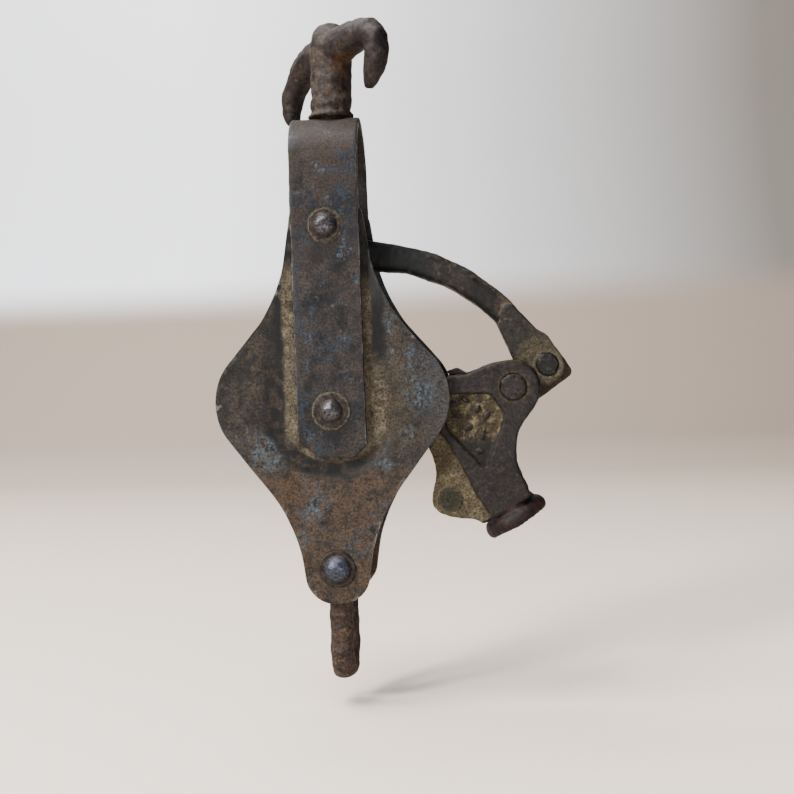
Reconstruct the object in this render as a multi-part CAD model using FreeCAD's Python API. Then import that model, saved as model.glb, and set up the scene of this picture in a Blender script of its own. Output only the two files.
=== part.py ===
import FreeCAD, Part
import math
import os

# Self-locking rope hoist block. Millimetres, Z up, X across the front, Y to the back.
# Every piece is drawn about the sheave's axle and saved about the seat of the swivel hook.

# Heights of the three rivets on the centre line, from the axle
PIVOT_Z = 59.3
BECKET_Z = -51.3

# Strap: flat bar bent over the top
STRAP_WIDTH = 22.0
STRAP_THICK = 3.0
STRAP_OUTER = 15.5
STRAP_SPRING_Z = 79.9
STRAP_END_Z = -15.1
STRAP_INNER = STRAP_OUTER - STRAP_THICK

# Side plates: 1.5 mm sheet with a keyhole dish 1 mm deep. Corners here and below are (x, z, radius).
PLATE_THICK = 1.5
DISH_DEPTH = 1.0
DISH_SLOPE = 3.5
DISH_RADIUS = 19.5
DISH_NECK = 13.0
PLATE_CORNERS = [(10.6, 70.8, 10.4), (15.9, 36.3, 42.7), (43.5, 3.9, 19.1), (12.8, -36.5, 48.3),
                 (9.2, -62.6, 9.1)]
FLOOR_INNER = STRAP_INNER - PLATE_THICK
RIM_OUTER = STRAP_INNER + DISH_DEPTH
RIM_INNER = RIM_OUTER - PLATE_THICK

# Rivets and the tubes on them
AXLE_R = 4.75
PIVOT_R = 4.0
BECKET_PIN_R = 3.95
AXLE_SLEEVE_R = 7.0
PIVOT_SPACER_R = 7.0
BECKET_SLEEVE_R = 5.2
RUNNING = 0.08

# Sheave for a rope of about 9.5 mm
SHEAVE_R = 27.5
SHEAVE_HALF = 7.0
HUB_R = 11.0
HUB_HALF = FLOOR_INNER - 0.3
GROOVE_R = 5.2
GROOVE_CENTRE = 25.9

# Swivel hook: two horns in one upright plane through the swivel axis
SWIVEL_X = 1.4
SHANK_R = 4.5
COLLAR_Z = STRAP_SPRING_Z + STRAP_OUTER + 0.1
SEAT_Z = 111.5
HORN_ANGLE = -47.0
HORN_TIP_R = 2.2
WASHER_R = 6.5
WASHER_TOP = 90.4
WASHER_THICK = 1.5

# Stations down each horn: reach from the swivel's axis, height, width across, thickness
NEAR_HORN = [(0.0, 117.0, 12.0, 14.0), (6.5, 118.4, 11.0, 12.2), (12.5, 119.4, 10.0, 10.6),
             (18.0, 120.0, 9.2, 9.6), (22.6, 119.2, 8.6, 9.0), (25.3, 116.4, 8.2, 8.6), (25.4, 112.9, 7.6, 8.0),
             (24.6, 109.7, 7.0, 7.2), (23.2, 106.4, 6.0, 6.2), (22.0, 103.5, 4.8, 4.8)]
FAR_HORN = [(0.0, 116.6, 12.0, 13.4), (7.5, 117.2, 10.2, 10.8), (14.2, 114.9, 9.2, 9.2),
            (19.6, 110.9, 8.8, 8.6), (22.6, 107.2, 8.4, 7.8), (24.0, 103.9, 7.4, 7.0), (23.9, 101.0, 6.2, 6.0),
            (22.8, 98.4, 4.6, 4.4)]

# Rivet heads: flange radius, flange height, dome radius, dome height
AXLE_HEAD = (6.2, 0.6, 4.6, 1.9)
PIVOT_HEAD = (5.2, 0.4, 4.3, 2.3)
BECKET_HEAD = (6.0, 0.5, 4.7, 2.7)
EAR_HEAD = (3.7, 0.7, 2.4, 0.2)

# Becket: a rod loop in the YZ plane
BECKET_HALF = 7.8
BECKET_ROD_X = 8.0
BECKET_ROD_Y = 6.0
BECKET_END_Z = -90.2
BECKET_EYE_R = 8.3

# Arm and its fork
ARM_HALF = 4.6
ARM_EYE_R = 9.0
FORK_INNER = 2.9
FORK_OUTER = 5.9
FORK_RELIEF_R = 8.5
ARM_CORNERS = [(-2.0, 62.5, 0), (12.8, 55.1, 12), (45.4, 48.4, 58.7), (66.4, 23.9, 5.9), (69.9, 22.1, 6.0),
               (77.4, 10.2, 5.4), (67.3, 3.9, 5.5), (59.3, 13.4, 6), (53.6, 26.2, 5.9), (38.7, 41.5, 49.5),
               (2.0, 47.0, 3)]
FORK_CORNERS = [(57.6, 33.8, 2), (66.4, 23.9, 5.9), (69.9, 22.1, 6.0), (77.4, 10.2, 5.4), (67.3, 3.9, 5.5),
                (59.3, 13.4, 6), (53.6, 26.2, 4)]
FORK_SLOT = [(60.5, 22.0, 2), (67.0, 22.5, 2), (90, 15, 0), (80, -5, 0), (55, -5, 0), (50, 10, 0)]

# Pins of the lock (x, z)
TAIL_PIN = (69.6, 12.4)
DOG_PIN = (58.4, 5.6)
EAR_PIN = (36.8, -30.5)
TAIL_PIN_R = 3.6
DOG_PIN_R = 4.25
EAR_PIN_R = 2.6

# Dog
DOG_TAIL_HALF = 2.7
DOG_NOSE_HALF = 4.8
DOG_HUB_HALF = 6.0
DOG_HUB_R = 5.6
DOG_SWEEP_R = 22.4
TOOTH_PITCH = 3.0
TOOTH_DEPTH = 1.7
TEETH = 6
TEETH_START = -52.0
NOSE_BACK = [(57.5, 14.2, 1), (43.2, 10.6, 0), (40.1, 12.3, 0)]
NOSE_END = [(50.5, -6.0, 2), (60.0, -1.0, 2), (63.0, 8.0, 2)]
HEEL_CORNERS = [(72.0, 19.0, 3), (78.4, 9.4, 2.2), (65.5, 0.5, 6), (56.0, 0.4, 3), (54.0, 10.0, 3),
                (64.0, 18.0, 5)]

# Cheeks and the rope throat
CHEEK_INNER = 6.2
CHEEK_OUTER = 9.0
PANEL_DEPTH = 1.3
EAR_INNER = 3.0
EAR_OUTER = 5.6
MOUTH = (57.6, -36.6)
THROAT_DEG = -60.0
THROAT_LENGTH = 30.0
THROAT_R = 7.5
BORE_R = 5.0
LIP_RING_R = 7.4
LIP_BEAD_R = 3.7
COVER_CORNERS = [(36.6, 9.7, 1.5), (43.1, 9.8, 6), (50.0, 13.1, 20), (64.7, 15.4, 8.6), (67.7, 2.3, 8),
                 (55.9, -12.8, 16.8), (63.3, -29.9, 2), (50.5, -37.2, 2), (45.2, -28.5, 6), (37.2, -12.0, 4),
                 (32.4, -7.0, 3)]
PANEL_CORNERS = [(34.6, 3.8, 1.2), (51.0, 4.0, 3), (55.4, -3.0, 2.5), (48.9, -21.2, 1.2), (36.5, -7.6, 1.2)]
EAR_CORNERS = [(48.0, -39.5, 2), (44.6, -37.6, 2.7), (30.8, -35.3, 5.4), (30.8, -29.8, 8), (32.8, -20.7, 8.7),
               (30.0, -12.8, 2), (32.5, -7.5, 2), (38.0, -9.0, 2), (52.0, -34.0, 2)]

Y_AXIS = FreeCAD.Vector(0, 1, 0)
Z_AXIS = FreeCAD.Vector(0, 0, 1)


def vec(x, y, z):
    return FreeCAD.Vector(x, y, z)


def closed_wire(corners):
    """Wire through points, each corner rounded by its own radius with a tangent arc."""
    turns = []
    for i, (corner, radius) in enumerate(corners):
        if radius == 0:
            turns.append((corner, corner, corner))
            continue
        back = (corners[i - 1][0] - corner).normalize()
        on = (corners[(i + 1) % len(corners)][0] - corner).normalize()
        half = back.getAngle(on) / 2
        inward = (back + on).normalize()
        centre = corner + inward * (radius / math.sin(half))
        reach = radius / math.tan(half)
        turns.append((corner + back * reach, centre - inward * radius, corner + on * reach))
    edges = []
    for i, (start, middle, end) in enumerate(turns):
        if not start.isEqual(end, 1e-6):
            edges.append(Part.Arc(start, middle, end).toShape())
        following = turns[(i + 1) % len(turns)][0]
        if not end.isEqual(following, 1e-6):
            edges.append(Part.LineSegment(end, following).toShape())
    return Part.Wire(edges)


def front_wire(corners, y=0.0):
    """Closed wire in a plane of constant Y from (x, z, radius) corners."""
    return closed_wire([(vec(x, y, z), radius) for x, z, radius in corners])


def slab(corners, y_low, y_high):
    """Outline in XZ, extruded from y_low to y_high."""
    return Part.Face(front_wire(corners, y_low)).extrude(vec(0, y_high - y_low, 0))


def rod(place, radius, y_low, y_high):
    """Round bar along Y at (x, z)."""
    x, z = place
    return Part.makeCylinder(radius, y_high - y_low, vec(x, y_low, z), Y_AXIS)


def tube(place, outer, inner, y_low, y_high):
    return rod(place, outer, y_low, y_high).cut(rod(place, inner, y_low - 1, y_high + 1))


def both_sides(shape):
    """The shape with its mirror image in the plane Y = 0."""
    return shape.fuse(shape.mirror(vec(0, 0, 0), Y_AXIS)).removeSplitter()


def turned(profile, base, axis):
    """Solid of revolution of a closed wire."""
    return Part.Face(profile).revolve(base, axis, 360)


def mirrored(corners):
    """Right-hand corners, top to bottom, joined to their mirror image in X."""
    return corners + [(-x, z, radius) for x, z, radius in reversed(corners)]


def save(name, shape):
    shape = shape.removeSplitter()
    shape.translate(vec(-SWIVEL_X, 0, -SEAT_Z))
    shape.exportStep("parts/" + name + ".step")
    print(f"{name}: {len(shape.Solids)} solid, valid {shape.isValid()}, {shape.Volume:.0f} mm3")


def rivet(place, shank_r, seat, flange_r, flange_height, dome_r, dome_height):
    """Rivet along Y with a domed head on a flat flange at each end."""
    x, z = place
    shoulder = seat + flange_height
    ball_r = (dome_r ** 2 + dome_height ** 2) / (2 * dome_height)
    ball = Part.makeSphere(ball_r, vec(x, shoulder + dome_height - ball_r, z))
    dome = ball.common(rod(place, ball_r, shoulder, shoulder + dome_height + 1))
    shank = rod(place, shank_r, 0, seat)
    return both_sides(shank.fuse(rod(place, flange_r, seat, shoulder)).fuse(dome))


# ---- block ---------------------------------------------------------------------------------

def strap():
    def bend(radius):
        top = vec(0, 0, STRAP_SPRING_Z + radius)
        left = vec(0, -radius, STRAP_SPRING_Z)
        right = vec(0, radius, STRAP_SPRING_Z)
        return left, top, right

    left, top, right = bend(STRAP_OUTER)
    inner_left, inner_top, inner_right = bend(STRAP_INNER)
    ends = [vec(0, y, STRAP_END_Z) for y in (-STRAP_OUTER, STRAP_OUTER, STRAP_INNER, -STRAP_INNER)]
    edges = [Part.LineSegment(ends[0], left), Part.Arc(left, top, right), Part.LineSegment(right, ends[1]),
             Part.LineSegment(ends[1], ends[2]), Part.LineSegment(ends[2], inner_right),
             Part.Arc(inner_right, inner_top, inner_left), Part.LineSegment(inner_left, ends[3]),
             Part.LineSegment(ends[3], ends[0])]
    bar = Part.Face(Part.Wire([edge.toShape() for edge in edges])).extrude(vec(STRAP_WIDTH, 0, 0))
    bar.translate(vec(-STRAP_WIDTH / 2, 0, 0))
    half = STRAP_WIDTH / 2
    clipped = [(half, 110, 0), (half, STRAP_END_Z + 4.0, 0.8), (7.0, STRAP_END_Z, 0.8),
               (-4.5, STRAP_END_Z, 0.8), (-half, STRAP_END_Z + 5.3, 0.8), (-half, 110, 0)]
    bar = bar.common(slab(clipped, -20, 20))
    long_edges = [edge for edge in bar.Edges
                  if abs(abs(edge.CenterOfMass.x) - half) < 0.01 and edge.Length > 60
                  or abs(abs(edge.CenterOfMass.x) - half) < 0.01 and abs(edge.CenterOfMass.y) < 0.01]
    bar = bar.makeChamfer(0.4, long_edges)
    bar = bar.cut(rod((0, PIVOT_Z), PIVOT_R, -20, 20)).cut(rod((0, 0), AXLE_R, -20, 20))
    return bar.cut(Part.makeCylinder(SHANK_R + RUNNING, 20, vec(SWIVEL_X, 0, 85), Z_AXIS))


def dish_corners(grow):
    neck = DISH_NECK + grow
    round_part = DISH_RADIUS + grow
    return mirrored([(neck, 90, 0), (neck, 32, 10), (round_part, 20, 14),
                     (round_part, -round_part, round_part - 0.1)])


def frustum(y_low):
    """The dish's floor outline at y_low, opening by the slope over the dish's depth."""
    low = front_wire(dish_corners(0), y_low)
    high = front_wire(dish_corners(DISH_SLOPE), y_low + DISH_DEPTH)
    return Part.makeLoft([low, high], True, True)


def side_plate(side):
    """Pressed plate: the keyhole dish sinks outside and stands proud inside by the same depth."""
    edge = mirrored(PLATE_CORNERS)
    blank = slab(edge, FLOOR_INNER, RIM_OUTER)
    under = slab(edge, FLOOR_INNER, RIM_INNER).cut(frustum(FLOOR_INNER))
    plate = blank.cut(frustum(STRAP_INNER)).cut(under)
    for place, radius in (((0, PIVOT_Z), PIVOT_R), ((0, 0), AXLE_R), ((0, BECKET_Z), BECKET_PIN_R)):
        plate = plate.cut(rod(place, radius, 0, 20))
    if side < 0:
        plate = plate.mirror(vec(0, 0, 0), Y_AXIS)
    return plate


def sheave():
    """Cast rope wheel: long hub, solid web, round groove."""
    wheel = rod((0, 0), SHEAVE_R, -SHEAVE_HALF, SHEAVE_HALF)
    for sign in (-1, 1):
        face = sign * SHEAVE_HALF
        low, high = sorted((face, face - sign * 2.0))
        wheel = wheel.cut(tube((0, 0), 19.0, HUB_R, low, high))
    wheel = wheel.fuse(rod((0, 0), HUB_R, -HUB_HALF, HUB_HALF))
    groove = Part.makeTorus(GROOVE_CENTRE, GROOVE_R, vec(0, 0, 0), Y_AXIS)
    mouth = tube((0, 0), SHEAVE_R + 5, GROOVE_CENTRE, -GROOVE_R, GROOVE_R)
    wheel = wheel.cut(groove).cut(mouth)
    return wheel.cut(rod((0, 0), AXLE_SLEEVE_R + RUNNING, -20, 20))


# ---- hook ----------------------------------------------------------------------------------

def horn(angle, shape):
    """One horn, lofted through oval sections along its curved centre line."""
    out = vec(math.cos(math.radians(angle)), math.sin(math.radians(angle)), 0)
    across = out.cross(Z_AXIS)
    centres = [out * reach + Z_AXIS * height for reach, height, width, thick in shape]
    sections = []
    for i, (reach, height, width, thick) in enumerate(shape):
        along = (centres[min(i + 1, len(shape) - 1)] - centres[max(i - 1, 0)]).normalize()
        normal = across.cross(along)
        ring = [centres[i] + across * (width / 2 * math.cos(t)) + normal * (thick / 2 * math.sin(t))
                for t in (math.radians(45 * k) for k in range(8))]
        curve = Part.BSplineCurve()
        curve.interpolate(Points=ring, PeriodicFlag=True)
        sections.append(Part.Wire([curve.toShape()]))
    body = Part.makeLoft(sections, True, False)
    return body.fuse(Part.makeSphere(HORN_TIP_R, centres[-1]))


def swivel_hook():
    """Double hook on a collared shank, its end riveted over under the washer."""
    head_low = WASHER_TOP - WASHER_THICK
    profile = [(0, head_low - 2.6, 0), (4.6, head_low - 2.6, 1.6), (5.8, head_low, 0), (SHANK_R, head_low, 0),
               (SHANK_R, COLLAR_Z, 0), (7.6, COLLAR_Z, 0.6), (7.6, COLLAR_Z + 1.6, 0.6),
               (6.5, COLLAR_Z + 2.2, 0.4),
               (7.0, COLLAR_Z + 3.4, 0.4), (6.8, COLLAR_Z + 9.0, 8), (7.2, 113.0, 3), (7.1, 120.0, 4),
               (4.6, 126.4, 3), (0, 127.0, 0)]
    body = turned(front_wire(profile), vec(0, 0, 0), Z_AXIS)
    hook = body.fuse(horn(HORN_ANGLE, NEAR_HORN)).fuse(horn(HORN_ANGLE + 180, FAR_HORN))
    hook.translate(vec(SWIVEL_X, 0, 0))
    return hook


def swivel_washer():
    low = WASHER_TOP - WASHER_THICK
    ring = Part.makeCylinder(WASHER_R, WASHER_THICK, vec(SWIVEL_X, 0, low), Z_AXIS)
    return ring.cut(Part.makeCylinder(SHANK_R, 9, vec(SWIVEL_X, 0, low - 3), Z_AXIS))


# ---- becket --------------------------------------------------------------------------------

def becket():
    """Rod loop with a flattened eye at the top of each leg."""
    bend_z = BECKET_END_Z + BECKET_ROD_Y / 2 + BECKET_HALF
    left, right = vec(0, -BECKET_HALF, bend_z), vec(0, BECKET_HALF, bend_z)
    bottom = vec(0, 0, bend_z - BECKET_HALF)
    top_left, top_right = vec(0, -BECKET_HALF, BECKET_Z), vec(0, BECKET_HALF, BECKET_Z)
    path = Part.Wire([Part.LineSegment(top_left, left).toShape(), Part.Arc(left, bottom, right).toShape(),
                      Part.LineSegment(right, top_right).toShape()])
    section = Part.Ellipse(vec(0, -BECKET_HALF, BECKET_Z), BECKET_ROD_X / 2, BECKET_ROD_Y / 2)
    loop = path.makePipeShell([Part.Wire([section.toShape()])], True, False)
    for sign in (-1, 1):
        low, high = sorted((sign * (BECKET_HALF - 2.8), sign * (BECKET_HALF + 2.8)))
        loop = loop.fuse(rod((0, BECKET_Z), BECKET_EYE_R, low, high))
    return loop.cut(rod((0, BECKET_Z), BECKET_SLEEVE_R + RUNNING, -20, 20))


# ---- lock ----------------------------------------------------------------------------------

def lock_arm():
    """Curved arm: an eye on the pivot, a rounded bar, a shoulder and a fork for the dog's tail."""
    long_bar = slab(ARM_CORNERS, -ARM_HALF, ARM_HALF)
    rims = [edge for edge in long_bar.Edges if abs(abs(edge.CenterOfMass.y) - ARM_HALF) < 0.01
            and 14 < edge.CenterOfMass.x < 64 and edge.CenterOfMass.z > 20]
    long_bar = long_bar.makeFillet(2.4, rims)
    fork = slab(FORK_CORNERS, -FORK_OUTER, FORK_OUTER)
    eye = rod((0, PIVOT_Z), ARM_EYE_R, -ARM_HALF, ARM_HALF)
    arm = long_bar.fuse(fork).fuse(eye)
    slot = slab(FORK_SLOT, -FORK_INNER, FORK_INNER)
    arm = arm.cut(slot).cut(rod(DOG_PIN, FORK_RELIEF_R, -20, 20))
    return arm.cut(rod((0, PIVOT_Z), PIVOT_R + RUNNING, -20, 20)).cut(rod(TAIL_PIN, TAIL_PIN_R, -20, 20))


def throat_point(along, offset):
    """(x, z) at a distance down the throat from its mouth, and to its upper right."""
    turn = math.radians(THROAT_DEG)
    return (MOUTH[0] + along * math.cos(turn) - offset * math.sin(turn),
            MOUTH[1] + along * math.sin(turn) + offset * math.cos(turn))


def lock_dog():
    """Toothed cam: nose above the rope, hub on the dog pin, tail with a square heel on the tail pin."""
    teeth = []
    for k in range(TEETH):
        tip = throat_point(TEETH_START + k * TOOTH_PITCH, BORE_R)
        valley = throat_point(TEETH_START + (k + 0.3) * TOOTH_PITCH, BORE_R + TOOTH_DEPTH)
        teeth += [(tip[0], tip[1], 0), (valley[0], valley[1], 0)]
    last = throat_point(TEETH_START + TEETH * TOOTH_PITCH, BORE_R)
    nose = slab(NOSE_BACK + teeth + [(last[0], last[1], 0)] + NOSE_END, -DOG_NOSE_HALF, DOG_NOSE_HALF)
    nose = nose.common(rod(DOG_PIN, DOG_SWEEP_R - 0.3, -9, 9)).cut(rod(TAIL_PIN, 7.2, -9, 9))
    hub = rod(DOG_PIN, DOG_HUB_R, -DOG_HUB_HALF, DOG_HUB_HALF)
    tail = slab(HEEL_CORNERS, -DOG_TAIL_HALF, DOG_TAIL_HALF)
    dog = nose.fuse(hub).fuse(tail).cut(rod(DOG_PIN, DOG_PIN_R + RUNNING, -20, 20))
    return dog.cut(rod(TAIL_PIN, TAIL_PIN_R + RUNNING, -20, 20))


def throat_ring(profile):
    """Revolves (along, radius, corner radius) points about the throat's axis."""
    turn = math.radians(THROAT_DEG)
    along = vec(math.cos(turn), 0, math.sin(turn))
    out = vec(-math.sin(turn), 0, math.cos(turn))
    base = vec(MOUTH[0], 0, MOUTH[1])
    wire = closed_wire([(base + along * a + out * r, radius) for a, r, radius in profile])
    return turned(wire, base, along)


def cheek(side):
    """Cast half of the lock: cover over the dog, half of the rope throat, bell mouth and ear."""
    cover = slab(COVER_CORNERS, CHEEK_INNER, CHEEK_OUTER)
    panel = slab(PANEL_CORNERS, CHEEK_OUTER - PANEL_DEPTH, CHEEK_OUTER + 1)
    throat = throat_ring([(-THROAT_LENGTH, 0, 0), (-THROAT_LENGTH, THROAT_R, 1), (1, THROAT_R, 0), (1, 0, 0)])
    bead = Part.makeTorus(LIP_RING_R, LIP_BEAD_R, vec(MOUTH[0], 0, MOUTH[1]), vec(*throat_direction()))
    ear = slab(EAR_CORNERS, EAR_INNER, EAR_OUTER)
    dog_room = rod(DOG_PIN, DOG_SWEEP_R, -CHEEK_INNER, CHEEK_INNER)
    half = slab([(0, 40, 0), (100, 40, 0), (100, -80, 0), (0, -80, 0)], 0, 20)
    shell = throat.fuse(bead).common(half).cut(dog_room).fuse(cover.cut(panel)).fuse(ear)
    bore = throat_ring([(-60, 0, 0), (-60, BORE_R, 0), (-1.5, BORE_R, 3), (5, LIP_RING_R + 1.6, 0), (5, 0, 0)])
    shell = shell.cut(bore).cut(rod(DOG_PIN, DOG_PIN_R, 0, 20)).cut(rod(EAR_PIN, EAR_PIN_R, 0, 20))
    if side < 0:
        shell = shell.mirror(vec(0, 0, 0), Y_AXIS)
    return shell


def throat_direction():
    turn = math.radians(THROAT_DEG)
    return math.cos(turn), 0, math.sin(turn)


os.makedirs("parts", exist_ok=True)

save("strap", strap())
save("front_side_plate", side_plate(-1))
save("back_side_plate", side_plate(1))
save("axle_sleeve", tube((0, 0), AXLE_SLEEVE_R, AXLE_R, -FLOOR_INNER, FLOOR_INNER))
save("axle_rivet", rivet((0, 0), AXLE_R, STRAP_OUTER, *AXLE_HEAD))
save("pivot_rivet", rivet((0, PIVOT_Z), PIVOT_R, STRAP_OUTER, *PIVOT_HEAD))
save("front_arm_spacer", tube((0, PIVOT_Z), PIVOT_SPACER_R, PIVOT_R, -FLOOR_INNER, -ARM_HALF - 0.3))
save("back_arm_spacer", tube((0, PIVOT_Z), PIVOT_SPACER_R, PIVOT_R, ARM_HALF + 0.3, FLOOR_INNER))
save("becket_rivet", rivet((0, BECKET_Z), BECKET_PIN_R, RIM_OUTER, *BECKET_HEAD))
save("becket_sleeve", tube((0, BECKET_Z), BECKET_SLEEVE_R, BECKET_PIN_R, -RIM_INNER, RIM_INNER))
save("sheave", sheave())
save("swivel_hook", swivel_hook())
save("swivel_washer", swivel_washer())
save("becket", becket())
save("lock_arm", lock_arm())
save("tail_pin", rod(TAIL_PIN, TAIL_PIN_R, -FORK_OUTER - 0.7, FORK_OUTER + 0.7))
save("lock_dog", lock_dog())
save("front_cheek", cheek(-1))
save("back_cheek", cheek(1))
save("dog_pin", rod(DOG_PIN, DOG_PIN_R, -CHEEK_OUTER - 0.5, CHEEK_OUTER + 0.5))
save("ear_rivet", rivet(EAR_PIN, EAR_PIN_R, EAR_OUTER, *EAR_HEAD))
save("ear_spacer", tube(EAR_PIN, 4.6, EAR_PIN_R, -EAR_INNER, EAR_INNER))
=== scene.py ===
import math

import bmesh
import bpy
from mathutils import Matrix, Vector, noise


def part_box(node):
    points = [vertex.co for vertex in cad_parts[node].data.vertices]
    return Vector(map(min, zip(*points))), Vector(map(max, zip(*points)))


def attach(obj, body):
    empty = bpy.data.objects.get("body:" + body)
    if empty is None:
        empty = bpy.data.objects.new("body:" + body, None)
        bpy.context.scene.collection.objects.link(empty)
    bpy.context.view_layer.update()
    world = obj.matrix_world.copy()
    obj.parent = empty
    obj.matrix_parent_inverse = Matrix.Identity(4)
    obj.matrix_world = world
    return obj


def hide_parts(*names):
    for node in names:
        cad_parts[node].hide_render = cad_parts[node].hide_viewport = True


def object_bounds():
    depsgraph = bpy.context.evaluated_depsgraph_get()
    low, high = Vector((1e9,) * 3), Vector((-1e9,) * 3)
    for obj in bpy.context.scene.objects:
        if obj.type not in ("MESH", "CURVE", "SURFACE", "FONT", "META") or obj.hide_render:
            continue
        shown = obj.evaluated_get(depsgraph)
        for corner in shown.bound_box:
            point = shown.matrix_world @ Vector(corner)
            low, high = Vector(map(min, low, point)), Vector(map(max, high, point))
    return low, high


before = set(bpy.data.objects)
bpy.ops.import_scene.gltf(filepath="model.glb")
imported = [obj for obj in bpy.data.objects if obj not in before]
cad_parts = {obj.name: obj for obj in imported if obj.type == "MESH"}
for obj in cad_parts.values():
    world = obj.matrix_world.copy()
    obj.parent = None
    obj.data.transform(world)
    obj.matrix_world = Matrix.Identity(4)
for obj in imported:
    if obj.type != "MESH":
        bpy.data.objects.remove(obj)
cad_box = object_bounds()

# Self-locking rope hoist block, as found: old paint, rust, dried clay and handling wear.
# Pieces are modelled in millimetres about the sheave's axle, X across the front, Y to the
# back, Z up. The last step moves them to the frame's origin and to metres.

MM = 0.001
UP = Vector((0, 0, 1))
DEEP = Vector((0, 1, 0))


# ---- places taken from the frame ------------------------------------------------------------

def middle(node):
    """Centre of a CAD node, in millimetres of the frame."""
    low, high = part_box(node)
    return (low + high) / 2 / MM


def size(node):
    """How long a CAD node is in X, Y and Z, in millimetres."""
    low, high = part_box(node)
    return (high - low) / MM


AXLE = middle("axle_rivet")


CENTRE = Vector()


def corners_of(node):
    """The two corners of a CAD node's box, in millimetres from the axle."""
    return [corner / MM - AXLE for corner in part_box(node)]


def pin_place(node):
    """Where a pin or rivet crosses the plane Y = 0, from the axle."""
    away = middle(node) - AXLE
    return Vector((away.x, 0, away.z))


PIVOT = pin_place("pivot_rivet")
FOOT = pin_place("becket_rivet")
TAIL_PIN = pin_place("tail_pin")
DOG_PIN = pin_place("dog_pin")
EAR_PIN = pin_place("ear_rivet")
SWIVEL = pin_place("swivel_washer").x

strap_low, strap_high = corners_of("strap")
STRAP_HALF_WIDTH = strap_high.x
STRAP_OUTER = strap_high.y
STRAP_THICK = 3.0
STRAP_INNER = STRAP_OUTER - STRAP_THICK
STRAP_SPRING = strap_high.z - STRAP_OUTER
STRAP_END = strap_low.z
RIGHT_CLIP = 4.0
LEFT_CLIP = 5.3

PLATE_THICK = 1.5
PLATE_RIM = corners_of("back_side_plate")[1].y
DISH_DEPTH = PLATE_RIM - STRAP_INNER


# ---- modelling ------------------------------------------------------------------------------

ARC_STEP = 0.9


def outline(corners, y):
    """A flat face across Y. Each corner is (x, z, radius), rounded with a tangent arc."""
    bm = bmesh.new()
    points = [bm.verts.new((x, y, z)) for x, z, radius in corners]
    bm.faces.new(points)
    for i, (x, z, radius) in enumerate(corners):
        if radius == 0:
            continue
        here = Vector((x, z))
        back = Vector(corners[i - 1][:2]) - here
        on = Vector(corners[(i + 1) % len(corners)][:2]) - here
        opening = back.angle(on)
        steps = max(2, round((math.pi - opening) * radius / ARC_STEP))
        bmesh.ops.bevel(bm, geom=[points[i]], offset=radius / math.tan(opening / 2), offset_type="OFFSET",
                        affect="VERTICES", segments=steps, profile=0.5, clamp_overlap=False, material=-1)
    return bm


def slab(corners, y_low, y_high, edge_round=0.0):
    """An outline given thickness, its rims rounded over."""
    bm = outline(corners, y_low)
    raised = bmesh.ops.extrude_face_region(bm, geom=bm.faces[:])
    lifted = [item for item in raised["geom"] if isinstance(item, bmesh.types.BMVert)]
    bmesh.ops.translate(bm, verts=lifted, vec=DEEP * (y_high - y_low))
    bmesh.ops.recalc_face_normals(bm, faces=bm.faces)
    if edge_round:
        rims = [edge for edge in bm.edges if abs(edge.verts[0].co.y - edge.verts[1].co.y) < 0.01]
        bmesh.ops.bevel(bm, geom=rims, offset=edge_round, affect="EDGES", segments=3, profile=0.5,
                        clamp_overlap=True, material=-1)
    return bm


def lathe(profile, place, axis=DEEP, steps=56):
    """Spins (radius, distance along the axis) points about an axis through place."""
    bm = bmesh.new()
    side = axis.orthogonal().normalized()
    points = [bm.verts.new(place + side * radius + axis * along) for radius, along in profile]
    edges = [bm.edges.new(pair) for pair in zip(points, points[1:])]
    bmesh.ops.spin(bm, geom=points + edges, cent=place, axis=axis, angle=math.tau, steps=steps,
                   use_merge=True)
    bmesh.ops.remove_doubles(bm, verts=bm.verts, dist=0.001)
    bmesh.ops.recalc_face_normals(bm, faces=bm.faces)
    return bm


def bar(place, radius, y_low, y_high):
    """Plain round bar along Y."""
    return lathe([(0, y_low), (radius, y_low), (radius, y_high), (0, y_high)], place)


def ring(place, outer, inner, y_low, y_high):
    """Plain tube along Y."""
    corners = [(inner, y_low), (outer, y_low), (outer, y_high), (inner, y_high), (inner, y_low)]
    return lathe(corners, place)


def drawn(stations):
    """A bar through oval sections: (centre, half-width vector, half-thickness vector) each."""
    bm = bmesh.new()
    loops = []
    for centre, wide, thick in stations:
        oval = Matrix.Translation(centre) @ Matrix((wide, thick, wide.cross(thick))).transposed().to_4x4()
        made = bmesh.ops.create_circle(bm, cap_ends=False, segments=16, radius=1, matrix=oval)
        loops.append(list({edge for vert in made["verts"] for edge in vert.link_edges}))
    for near, far in zip(loops, loops[1:]):
        bmesh.ops.bridge_loops(bm, edges=near + far)
    bmesh.ops.holes_fill(bm, edges=loops[0] + loops[-1])
    bmesh.ops.recalc_face_normals(bm, faces=bm.faces)
    return bm


def gather(*parts):
    """Several solids in one bmesh."""
    whole = bmesh.new()
    for part in parts:
        mesh = bpy.data.meshes.new("part")
        part.to_mesh(mesh)
        part.free()
        whole.from_mesh(mesh)
        bpy.data.meshes.remove(mesh)
    return whole


def workpiece(bm):
    """A shape put in the scene for a while, so that modifiers can work on it."""
    mesh = bpy.data.meshes.new("workpiece")
    bm.to_mesh(mesh)
    bm.free()
    obj = bpy.data.objects.new("workpiece", mesh)
    bpy.context.scene.collection.objects.link(obj)
    return obj


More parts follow.
